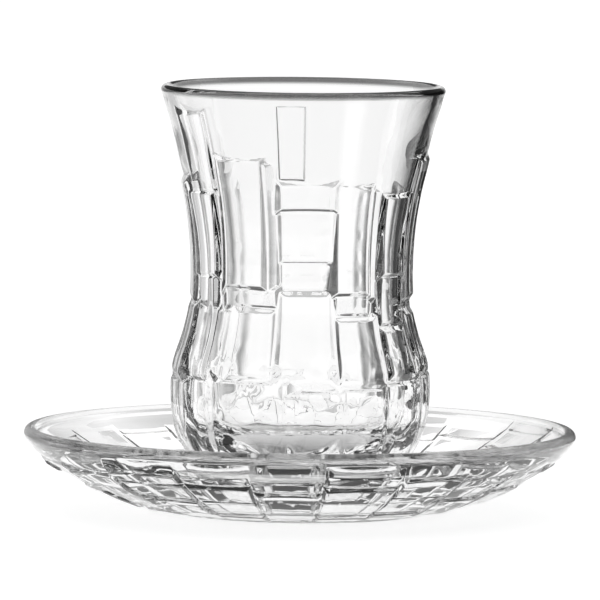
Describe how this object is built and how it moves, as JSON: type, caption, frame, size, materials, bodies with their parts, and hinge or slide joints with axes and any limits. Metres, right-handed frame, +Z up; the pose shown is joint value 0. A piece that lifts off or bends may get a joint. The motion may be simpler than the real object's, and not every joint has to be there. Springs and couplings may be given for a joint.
{
  "type": "turkish tea glass with saucer",
  "caption": "Clear pressed-glass tea glass with a slim waist and raised flat blocks outside, standing empty on its own matching saucer.",
  "frame": {"origin": "middle of the saucer's flat foot, on the table", "axes": "+Z up through the glass, -Y towards the pictured side"},
  "size_m": [0.1262, 0.1262, 0.0973],
  "materials": {
    "tea_glass": "polished clear pressed glass",
    "saucer": "polished clear pressed glass"
  },
  "bodies": {
    "root": {"tea_glass": "tea_glass", "saucer": "saucer"}
  },
  "joints": []
}
